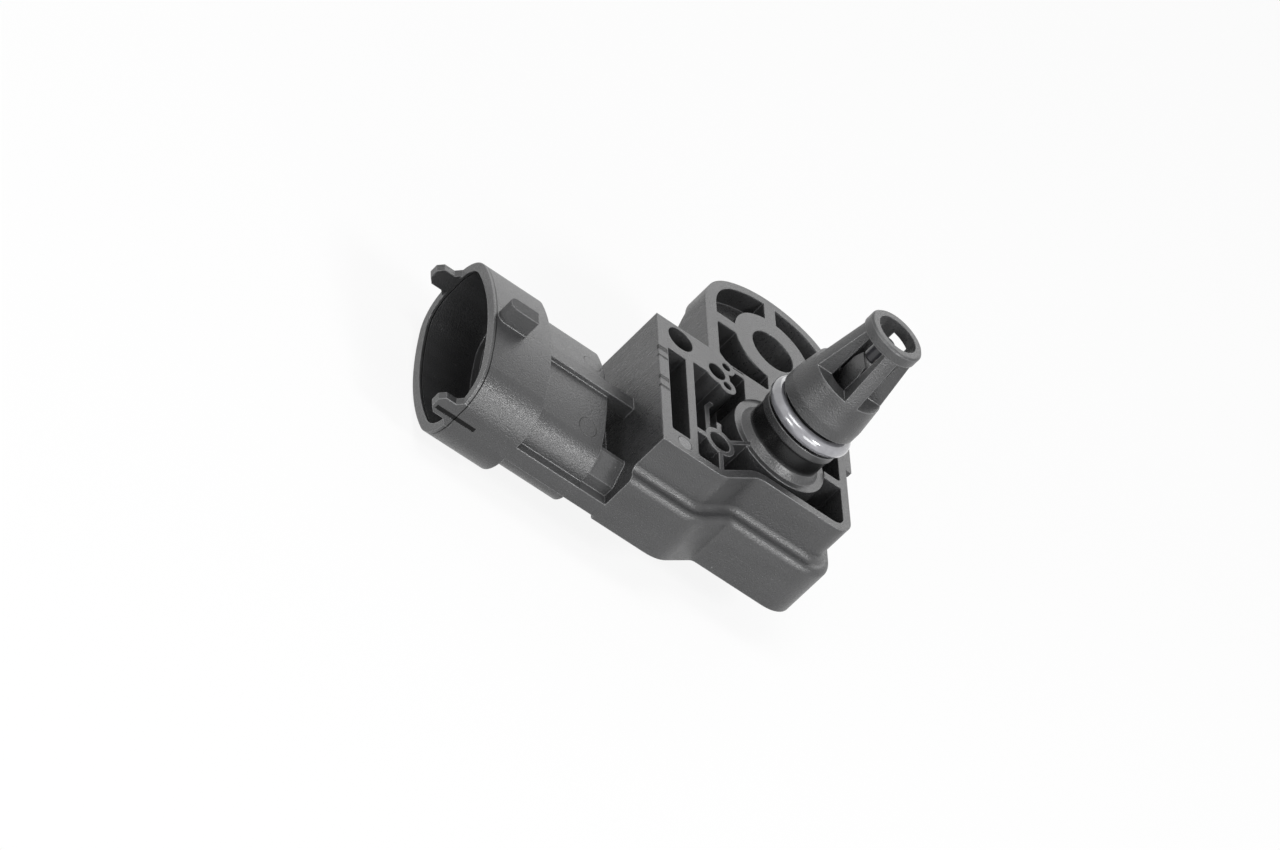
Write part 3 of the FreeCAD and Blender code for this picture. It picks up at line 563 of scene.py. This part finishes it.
@dataclass(frozen=True)
class MouldedNylon:
    """Black glass-filled nylon from a finely eroded tool."""

    name: str = "moulded_nylon"
    colour: Triple = (0.026, 0.0262, 0.027)
    pale: Triple = (0.075, 0.076, 0.078)
    dust: Triple = (0.2, 0.2, 0.2)
    # Pale colour of the edges, partly wear and partly a painted highlight, and of the pin's
    # disc.
    wear_and_highlight: Triple = (0.24, 0.24, 0.245)
    # Near-black painted shade for the sunk marks and the pin traces; on the port's barrel it
    # stands for a painted dark reflection.
    painted_shade: Triple = (0.004, 0.004, 0.004)
    gloss: float = 0.7
    tint: NylonTint = NylonTint()
    touch: NylonTouch = NylonTouch()
    relief: NylonRelief = NylonRelief()
    grain: Noise = Noise(5.0)
    cloud: Noise = Noise(0.22, layers=3.0, fade=0.55, factors=(0.35, 1.0, 1.0))
    fibres: Noise = Noise(3.2, factors=(1.0, 1.0, 0.12))
    specks_per_mm: float = 0.42
    speck_rim: Span = (0.055, 0.03)
    port: Band = Band(foot=(0.0, 1.2), head=(7.2, 6.8), side=(7.4, 6.6))
    # The port's barrel is painted darker, in colour and as metal without colour: a painted
    # dark reflection.
    painted_barrel_reflection: Band = Band(foot=(0.8, 1.3), head=(3.7, 3.1), side=(5.6, 5.5))
    drawn_walls: Tuple[Block, ...] = (
        Block(x=(-19.7, -19.1), z=(-14.0, -0.2)),
        Block(y=(11.5, 40.0), z=(-8.0, -0.2)),
    )
    coarse_gusset: Block = Block(x=(-23.1, -19.4), y=(-17.0, -8.5))
    coarse_nub: Block = Block(x=(-41.4, -36.8), y=(-5.2, -2.6), z=(-3.7, -1.0))
    # The sunk marks: besides their relief they take painted shade, in their colour and as
    # metal without colour.
    tongue_groove: Block = Block(x=(-44.3, -38.5), y=(-17.0, -15.9), z=(-12.5, -11.9))
    rim_line: Block = Block(x=(-41.5, -41.38), soft=0.03)
    strip_bars: Tuple[Block, ...] = (
        Block(x=(-19.5, -17.95), y=(3.5, 4.4), z=(-0.3, 0.3)),
        Block(x=(-19.5, -17.95), y=(2.1, 2.5), z=(-0.3, 0.3)),
        Block(x=(-19.5, -17.95), y=(-2.4, -1.6), z=(-0.3, 0.3)),
        Block(x=(-19.5, -17.95), y=(-4.0, -3.5), z=(-0.3, 0.3)),
    )
    # The pin traces: besides their fine relief, their lines take painted shade.
    strip_pin: PinTrace = PinTrace(x=-15.9, y=-12.7, radius=1.05, above=-0.3)
    neck_pins: Tuple[PinTrace, ...] = (
        PinTrace(x=-25.4, y=-10.6, radius=1.3, above=-8.0),
        PinTrace(x=-24.8, y=2.0, radius=1.3, above=-8.0),
    )

    def material(self) -> bpy.types.Material:
        """Makes the finish.

        Returns:
            The material.
        """
        board = Board(self.name)
        rounded, edge = board.soft_edges(self.relief.edge_radius)
        traits = self.traits(board, edge)
        standing = 1.0 - traits.sunk - traits.traces * self.relief.trace
        marked = board.bump(standing, self.relief.mark_depth, normal=rounded)
        grained = board.bump(self.height(traits), self.relief.grain_depth, normal=marked)
        return board.finish(
            {
                "Base Color": self.tone(board, traits),
                # Metallic darkens the sunk marks and the port's barrel: painted shade in the
                # marks, a painted dark reflection on the barrel.
                "Metallic": traits.sunk * self.tint.sunk + traits.painted_barrel_reflection * self.tint.painted_barrel_reflection,
                "Roughness": self.roughness(traits),
                "Normal": grained,
                "Specular IOR Level": self.gloss,
            }
        )

    def traits(self, board: Board, edge: Signal) -> NylonTraits:
        """Reads the surface.

        Args:
            board: The material.
            edge: How near the point is to an edge, from 0 to 1.

        Returns:
            The traits at the surface point.
        """
        point = board.place()
        spot = board.parts_of(point)
        return NylonTraits(
            port=self.port.mask(spot),
            painted_barrel_reflection=self.painted_barrel_reflection.mask(spot),
            drawn=cover(self.drawn_walls, spot),
            coarse=cover((self.coarse_gusset, self.coarse_nub), spot),
            sunk=cover((self.tongue_groove, self.rim_line, *self.strip_bars), spot),
            traces=cover((self.strip_pin, *self.neck_pins), spot),
            disc=self.strip_pin.disc(spot),
            specks=board.spots(point, self.specks_per_mm).ramp(*self.speck_rim),
            edge=edge,
            grain=board.noise(point, self.grain),
            cloud=board.noise(point, self.cloud),
            fibres=board.noise(point, self.fibres),
        )

    def tone(self, board: Board, traits: NylonTraits) -> Signal:
        """Mixes the colour: clouds, pale edges that are partly wear and partly a painted
        highlight, dust, painted shade in the sunk marks and pin traces, and a painted dark
        reflection on the port's barrel.

        Args:
            board: The material.
            traits: The traits at the surface point.

        Returns:
            The colour.
        """
        tint = self.tint
        clouds = (traits.cloud - tint.cloud_start) * tint.cloud
        tone = board.blend(clouds, opaque(self.colour), opaque(self.pale))
        # Pale edges: partly wear, partly a painted highlight on the rounding.
        tone = board.blend(traits.edge * tint.edge, tone, opaque(self.wear_and_highlight))
        specks = traits.specks * (1.0 - traits.port) * tint.speck
        tone = board.blend(specks, tone, opaque(self.dust))
        tone = board.blend(traits.disc * tint.disc, tone, opaque(self.wear_and_highlight))
        # Painted shade in the sunk marks and the pin traces, and a painted dark reflection on
        # the port's barrel.
        painted_shade = traits.sunk * tint.sunk + traits.traces * tint.trace
        painted_shade = painted_shade + traits.painted_barrel_reflection * tint.painted_barrel_reflection
        return board.blend(painted_shade, tone, opaque(self.painted_shade))

    def roughness(self, traits: NylonTraits) -> Signal:
        """Works out how rough the surface is.

        Args:
            traits: The traits at the surface point.

        Returns:
            The roughness.
        """
        touch = self.touch
        rough = (traits.grain - NOISE_MIDDLE) * touch.grain * self.grained(traits)
        rough = rough + (traits.cloud - NOISE_MIDDLE) * touch.cloud
        rough = rough + (traits.fibres - NOISE_MIDDLE) * traits.drawn * touch.drawn
        rough = rough - traits.edge * touch.edge
        rough = rough - traits.port * (touch.plain - touch.port)
        return rough + traits.coarse * touch.coarse + touch.plain

    def height(self, traits: NylonTraits) -> Signal:
        """Works out the fine relief: the grain, and fibres on the port and on drawn walls.

        Args:
            traits: The traits at the surface point.

        Returns:
            The relief, about 0 to 1.
        """
        relief = self.relief
        lines = traits.port * relief.port_fibres + traits.drawn * relief.drawn_fibres
        return traits.grain * self.grained(traits) + traits.fibres * lines

    def grained(self, traits: NylonTraits) -> Signal:
        """Returns how much of the grain shows; the port is polished."""
        return 1.0 - traits.port * self.relief.port_polish


@dataclass(frozen=True)
class RingRubber:
    """Grey rubber with the bloom and the fine speckle of a pressed ring."""

    name: str = "ring_rubber"
    colour: Triple = (0.11, 0.11, 0.12)
    bloom: Triple = (0.28, 0.28, 0.3)
    roughness: float = 0.16
    gloss: float = 1.0
    coat: float = 1.0
    coat_roughness: float = 0.06
    cloud: Noise = Noise(0.8, layers=3.0)
    speckle: Noise = Noise(9.0)
    cloud_touch: float = 0.2
    speckle_share: float = 0.5
    relief_depth: float = 0.00003
    relief_strength: float = 0.5

    def material(self) -> bpy.types.Material:
        """Makes the finish.

        Returns:
            The material.
        """
        board = Board(self.name)
        point = board.place()
        cloud = board.noise(point, self.cloud)
        relief = board.noise(point, self.speckle) * self.speckle_share + cloud
        return board.finish(
            {
                "Base Color": board.blend(cloud, opaque(self.colour), opaque(self.bloom)),
                "Roughness": self.roughness + (cloud - NOISE_MIDDLE) * self.cloud_touch,
                "Specular IOR Level": self.gloss,
                "Coat Weight": self.coat,
                "Coat Roughness": self.coat_roughness,
                "Normal": board.bump(relief, self.relief_depth, self.relief_strength),
            }
        )


@dataclass(frozen=True)
class Metal:
    """Stamped or drawn metal with faint lines along one axis."""

    name: str
    colour: Triple
    tint: Triple
    roughness: float
    lines: Noise = Noise(7.0, layers=3.0, fade=0.6, factors=(0.06, 1.0, 1.0))
    cloud: Noise = Noise(0.6)
    line_touch: float = 0.2
    edge_polish: float = 0.06
    edge_radius: float = 0.00006
    line_depth: float = 0.00001
    line_strength: float = 0.3

    def material(self) -> bpy.types.Material:
        """Makes the finish.

        Returns:
            The material.
        """
        board = Board(self.name)
        point = board.place()
        lines = board.noise(point, self.lines)
        cloud = board.noise(point, self.cloud)
        normal, edge = board.soft_edges(self.edge_radius)
        rough = self.roughness + (lines - NOISE_MIDDLE) * self.line_touch
        return board.finish(
            {
                "Base Color": board.blend(cloud, opaque(self.colour), opaque(self.tint)),
                "Metallic": 1.0,
                "Roughness": rough - edge * self.edge_polish,
                "Normal": board.bump(lines, self.line_depth, self.line_strength, normal),
            }
        )


@dataclass(frozen=True)
class Fired:
    """Ceramic, resin, silicon or adhesive: a solid tone with clouding and pores."""

    name: str
    colour: Triple
    tint: Triple
    roughness: float
    pores_per_mm: float = 6.0
    pore_layers: float = 3.0
    pore_fade: float = 0.65
    pore_depth: float = 0.00001
    pore_strength: float = 0.5
    pore_touch: float = 0.15
    coat: float = 0.0
    cloud: Noise = Noise(0.9, layers=3.0)

    def material(self) -> bpy.types.Material:
        """Makes the finish.

        Returns:
            The material.
        """
        board = Board(self.name)
        point = board.place()
        cloud = board.noise(point, self.cloud)
        pores = board.noise(point, Noise(self.pores_per_mm, self.pore_layers, self.pore_fade))
        return board.finish(
            {
                "Base Color": board.blend(cloud, opaque(self.colour), opaque(self.tint)),
                "Roughness": self.roughness + (pores - NOISE_MIDDLE) * self.pore_touch,
                "Coat Weight": self.coat,
                "Normal": board.bump(pores, self.pore_depth, self.pore_strength),
            }
        )


@dataclass(frozen=True)
class Clear:
    """Glass or silicone gel."""

    name: str
    colour: Triple
    roughness: float
    ior: float
    transmission: float
    ripple: Noise = Noise(1.2)
    ripple_tint: float = 0.3
    ripple_touch: float = 0.05
    ripple_depth: float = 0.00002
    ripple_strength: float = 0.2

    def material(self) -> bpy.types.Material:
        """Makes the finish.

        Returns:
            The material.
        """
        board = Board(self.name)
        ripple = board.noise(board.place(), self.ripple)
        tone = board.blend(ripple * self.ripple_tint, opaque(self.colour), opaque(WHITE))
        return board.finish(
            {
                "Base Color": tone,
                "Roughness": self.roughness + ripple * self.ripple_touch,
                "IOR": self.ior,
                "Transmission Weight": self.transmission,
                "Normal": board.bump(ripple, self.ripple_depth, self.ripple_strength),
            }
        )


class Finish(Enum):
    """The finishes that the sensor's pieces take."""

    NYLON = MouldedNylon()
    RUBBER = RingRubber()
    TIN = Metal(
        "tin_plate", colour=(0.72, 0.70, 0.64), tint=(0.60, 0.58, 0.53), roughness=0.32
    )
    ALUMINIUM = Metal(
        "aluminium_strap", colour=(0.82, 0.82, 0.83), tint=(0.74, 0.74, 0.76), roughness=0.28
    )
    ENAMEL = Fired(
        "lead_enamel",
        colour=(0.022, 0.019, 0.018),
        tint=(0.05, 0.043, 0.04),
        roughness=0.3,
        pores_per_mm=5.0,
        coat=0.3,
    )
    BEAD = Fired(
        "bead_resin",
        colour=(0.012, 0.012, 0.014),
        tint=(0.03, 0.03, 0.034),
        roughness=0.25,
        pores_per_mm=3.0,
        pore_depth=0.00002,
        coat=0.4,
    )
    SEALANT = Fired(
        "sealant",
        colour=(0.06, 0.06, 0.065),
        tint=(0.1, 0.1, 0.11),
        roughness=0.5,
        pores_per_mm=2.0,
        pore_depth=0.00004,
    )
    ALUMINA = Fired(
        "alumina",
        colour=(0.84, 0.84, 0.81),
        tint=(0.9, 0.89, 0.86),
        roughness=0.55,
        pores_per_mm=8.0,
    )
    SILICON = Fired(
        "silicon",
        colour=(0.2, 0.21, 0.25),
        tint=(0.26, 0.27, 0.33),
        roughness=0.15,
        pores_per_mm=12.0,
        pore_depth=0.000002,
        coat=0.6,
    )
    CAPACITOR = Fired(
        "capacitor",
        colour=(0.42, 0.31, 0.2),
        tint=(0.5, 0.38, 0.26),
        roughness=0.5,
        pores_per_mm=7.0,
    )
    GLASS = Clear(
        "borosilicate", colour=(0.85, 0.92, 0.91), roughness=0.05, ior=1.47, transmission=0.9
    )
    GEL = Clear(
        "silicone_gel", colour=(0.9, 0.92, 0.94), roughness=0.2, ior=1.4, transmission=0.85
    )


def dress(name: str, finish: Finish) -> None:
    """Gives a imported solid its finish.

    Args:
        name: The solid's name.
        finish: The finish that it takes.
    """
    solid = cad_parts[name]
    look = finish.value.name
    material = bpy.data.materials.get(look) or finish.value.material()
    if not solid.material_slots:
        solid.data.materials.append(material)
    for slot in solid.material_slots:
        slot.material = material
    LOG.info("%s takes %s", name, look)


def dress_row(stem: str, count: int, finish: Finish) -> None:
    """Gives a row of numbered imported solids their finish.

    Args:
        stem: What their names begin with.
        count: How many there are.
        finish: The finish that they take.
    """
    for number in range(1, count + 1):
        dress(f"{stem}_{number}", finish)


@dataclass
class Housing:
    """The one-piece moulding and the cover glued into its back."""

    moulded: Tuple[str, ...] = ("sensor_housing", "rear_cover")
    glue: str = "cover_sealant"

    def build(self) -> None:
        """Dresses the moulding, its cover and the adhesive between them."""
        for name in self.moulded:
            dress(name, Finish.NYLON)
        dress(self.glue, Finish.SEALANT)


@dataclass
class SealingRing:
    """The rubber ring in the port's groove, turned finely enough to look round."""

    node: str = "port_sealing_ring"
    steps_round: int = 160
    steps_across: int = 48
    flash_height: float = 0.00003
    flash_width: float = 0.12

    def build(self) -> None:
        """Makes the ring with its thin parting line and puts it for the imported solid."""
        data = self.skin()
        data.materials.append(Finish.RUBBER.value.material())
        piece = bpy.data.objects.new("sealing_ring", data)
        bpy.context.scene.collection.objects.link(piece)
        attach(piece, "root")
        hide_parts(self.node)
        LOG.info("sealing_ring has %d faces", len(data.polygons))

    def skin(self) -> bpy.types.Mesh:
        """Turns the ring round the port's axis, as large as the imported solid.

        Returns:
            The mesh.
        """
        low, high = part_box(self.node)
        thick = (high.z - low.z) / 2
        sweep = (high.x - low.x) / 2 - thick
        level = (low.z + high.z) / 2
        mesh = bmesh.new()
        rings = []
        for turn in range(self.steps_round):
            around = math.tau * turn / self.steps_round
            ring = []
            for step in range(self.steps_across):
                across = math.tau * step / self.steps_across
                ring.append(mesh.verts.new(self.point(around, across, sweep, thick, level)))
            rings.append(ring)
        for turn, ring in enumerate(rings):
            following = rings[(turn + 1) % self.steps_round]
            for step in range(self.steps_across):
                after = (step + 1) % self.steps_across
                corners = (ring[step], following[step], following[after], ring[after])
                mesh.faces.new(corners).smooth = True
        data = bpy.data.meshes.new("sealing_ring")
        mesh.to_mesh(data)
        mesh.free()
        return data

    def point(
        self, around: float, across: float, sweep: float, thick: float, level: float
    ) -> Vector:
        """Works out one point of the ring.

        Args:
            around: The angle round the port.
            across: The angle round the cord of the ring.
            sweep: The radius from the port's axis to the cord's middle.
            thick: The cord's radius.
            level: The height of the ring's middle plane.

        Returns:
            The point.
        """
        off_line = math.remainder(across - math.pi, math.tau) / self.flash_width
        radius = thick + self.flash_height * math.exp(-(off_line**2))
        out = sweep + radius * math.cos(across)
        rise = radius * math.sin(across)
        return Vector((out * math.cos(around), out * math.sin(around), level + rise))


@dataclass
class TemperatureProbe:
    """The bead in the port's cage and its two wires."""

    leads: int = 2

    def build(self) -> None:
        """Dresses the bead and the wires."""
        dress("thermistor_bead", Finish.BEAD)
        dress_row("thermistor_lead", self.leads, Finish.ENAMEL)


@dataclass
class PlugSocket:
    """The blades in the plug's socket."""

    ways: int = 4

    def build(self) -> None:
        """Dresses the blades."""
        dress_row("terminal", self.ways, Finish.TIN)


@dataclass
class PressureCell:
    """The cell on its ceramic plate, closed in behind the port."""

    finishes: Mapping[str, Finish] = field(
        default_factory=lambda: {
            "ceramic_substrate": Finish.ALUMINA,
            "substrate_adhesive": Finish.SEALANT,
            "gel_dam": Finish.SEALANT,
            "glass_base": Finish.GLASS,
            "pressure_chip": Finish.SILICON,
            "sensor_gel": Finish.GEL,
        }
    )
    capacitors: int = 3
    straps: int = 4

    def build(self) -> None:
        """Dresses the cell, its capacitors and its bonded straps."""
        for name, finish in self.finishes.items():
            dress(name, finish)
        dress_row("capacitor", self.capacitors, Finish.CAPACITOR)
        dress_row("bond_strap", self.straps, Finish.ALUMINIUM)


@dataclass
class Viewpoint:
    """The camera, where the picture of the real part was taken from."""

    right: Triple = (0.7627, -0.0317, 0.6460)
    down: Triple = (0.5002, -0.6043, -0.6202)
    ahead: Triple = (0.4101, 0.7962, -0.4450)
    shift_right: float = 0.017085
    shift_down: float = 0.002476
    distance: float = 0.8
    nearest: float = 0.01
    farthest: float = 20.0
    lens_mm: float = 184.5
    sensor_mm: float = 36.0

    def build(self) -> None:
        """Makes the camera."""
        data = bpy.data.cameras.new("viewpoint")
        data.lens = self.lens_mm
        data.sensor_width = self.sensor_mm
        data.sensor_fit = "HORIZONTAL"
        data.clip_start = self.nearest
        data.clip_end = self.farthest
        camera = bpy.data.objects.new("viewpoint", data)
        axes = (self.right, self.down, self.ahead)
        right, down, ahead = (Vector(axis).normalized() for axis in axes)
        place = -(right * self.shift_right + down * self.shift_down + ahead * self.distance)
        turn = Matrix((right, -down, -ahead)).transposed()
        camera.matrix_world = Matrix.Translation(place) @ turn.to_4x4()
        bpy.context.scene.collection.objects.link(camera)
        bpy.context.scene.camera = camera
        LOG.info("the camera stands at %s", tuple(round(value, 4) for value in place))


@dataclass(frozen=True)
class Softbox:
    """A square lamp that faces the part; its power is in watts."""

    name: str
    direction: Triple
    distance: float
    side: float
    power: float

    def build(self, target: Vector) -> None:
        """Hangs the lamp.

        Args:
            target: The point that it faces.
        """
        data = bpy.data.lights.new(self.name, "AREA")
        data.size = self.side
        data.energy = self.power
        lamp = bpy.data.objects.new(self.name, data)
        away = Vector(self.direction).normalized()
        lamp.location = target + away * self.distance
        lamp.rotation_mode = "QUATERNION"
        lamp.rotation_quaternion = away.to_track_quat("Z", "Y")
        bpy.context.scene.collection.objects.link(lamp)


@dataclass
class Studio:
    """The pale floor, the white surroundings and the soft lamps."""

    floor_gap: float = 0.0005
    floor_side: float = 6.0
    floor_tone: float = 0.9
    floor_glow: float = 0.88
    ambient: float = 0.24
    lamps: Tuple[Softbox, ...] = (
        Softbox("key", (-0.32, -0.22, 0.92), distance=0.7, side=0.32, power=1.8),
        Softbox("sheen", (0.42, -0.62, 0.66), distance=0.7, side=0.16, power=2.0),
        Softbox("front", (0.20, -1.0, 0.16), distance=0.8, side=0.5, power=3.6),
        Softbox("left", (-0.78, -0.62, 0.14), distance=0.8, side=0.28, power=2.2),
        Softbox("rear", (0.35, 0.9, 0.5), distance=0.8, side=0.5, power=0.9),
    )

    def build(self) -> None:
        """Makes the floor, the surroundings and the lamps."""
        low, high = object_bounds()
        self.make_floor(low.z - self.floor_gap)
        self.make_world()
        for lamp in self.lamps:
            lamp.build((low + high) / 2)
        LOG.info("the studio has %d lamps", len(self.lamps))

    def make_floor(self, level: float) -> None:
        """Makes the floor, which keeps the part's shadow.

        Args:
            level: Its height.
        """
        mesh = bmesh.new()
        bmesh.ops.create_grid(mesh, x_segments=1, y_segments=1, size=self.floor_side / 2)
        data = bpy.data.meshes.new("floor")
        mesh.to_mesh(data)
        mesh.free()
        data.materials.append(self.floor_material())
        floor = bpy.data.objects.new("floor", data)
        floor.location.z = level
        bpy.context.scene.collection.objects.link(floor)
        floor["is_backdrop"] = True

    def floor_material(self) -> bpy.types.Material:
        """Makes a pale matt finish that is nearly white to the camera.

        Returns:
            The material.
        """
        board = Board("pale_floor")
        tone = opaque((self.floor_tone,) * 3)
        matt = board.shader("ShaderNodeBsdfDiffuse", {"Color": tone})
        glow = board.shader("ShaderNodeEmission", {"Color": opaque(WHITE), "Strength": 1.0})
        share = board.seen() * self.floor_glow
        mixed = board.shader("ShaderNodeMixShader", {0: share, 1: matt, 2: glow})
        board.add("ShaderNodeOutputMaterial", None, {"Surface": mixed})
        return board.owner

    def make_world(self) -> None:
        """Makes surroundings that are white to the camera and in reflections."""
        board = Board("studio", world=True)
        strength = self.ambient + board.seen() * (1.0 - self.ambient)
        inputs = {"Color": opaque(WHITE), "Strength": strength}
        light = board.shader("ShaderNodeBackground", inputs)
        board.add("ShaderNodeOutputWorld", None, {"Surface": light})
        bpy.context.scene.world = board.owner


def main() -> None:
    """Builds the scene, piece by piece."""
    logging.basicConfig(level=logging.INFO, format="%(message)s")
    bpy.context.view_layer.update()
    Viewpoint().build()
    for piece in (Housing(), SealingRing(), TemperatureProbe(), PlugSocket(), PressureCell()):
        piece.build()
    Studio().build()
    bpy.context.scene.view_settings.view_transform = "Standard"


if __name__ == "__main__":
    main()
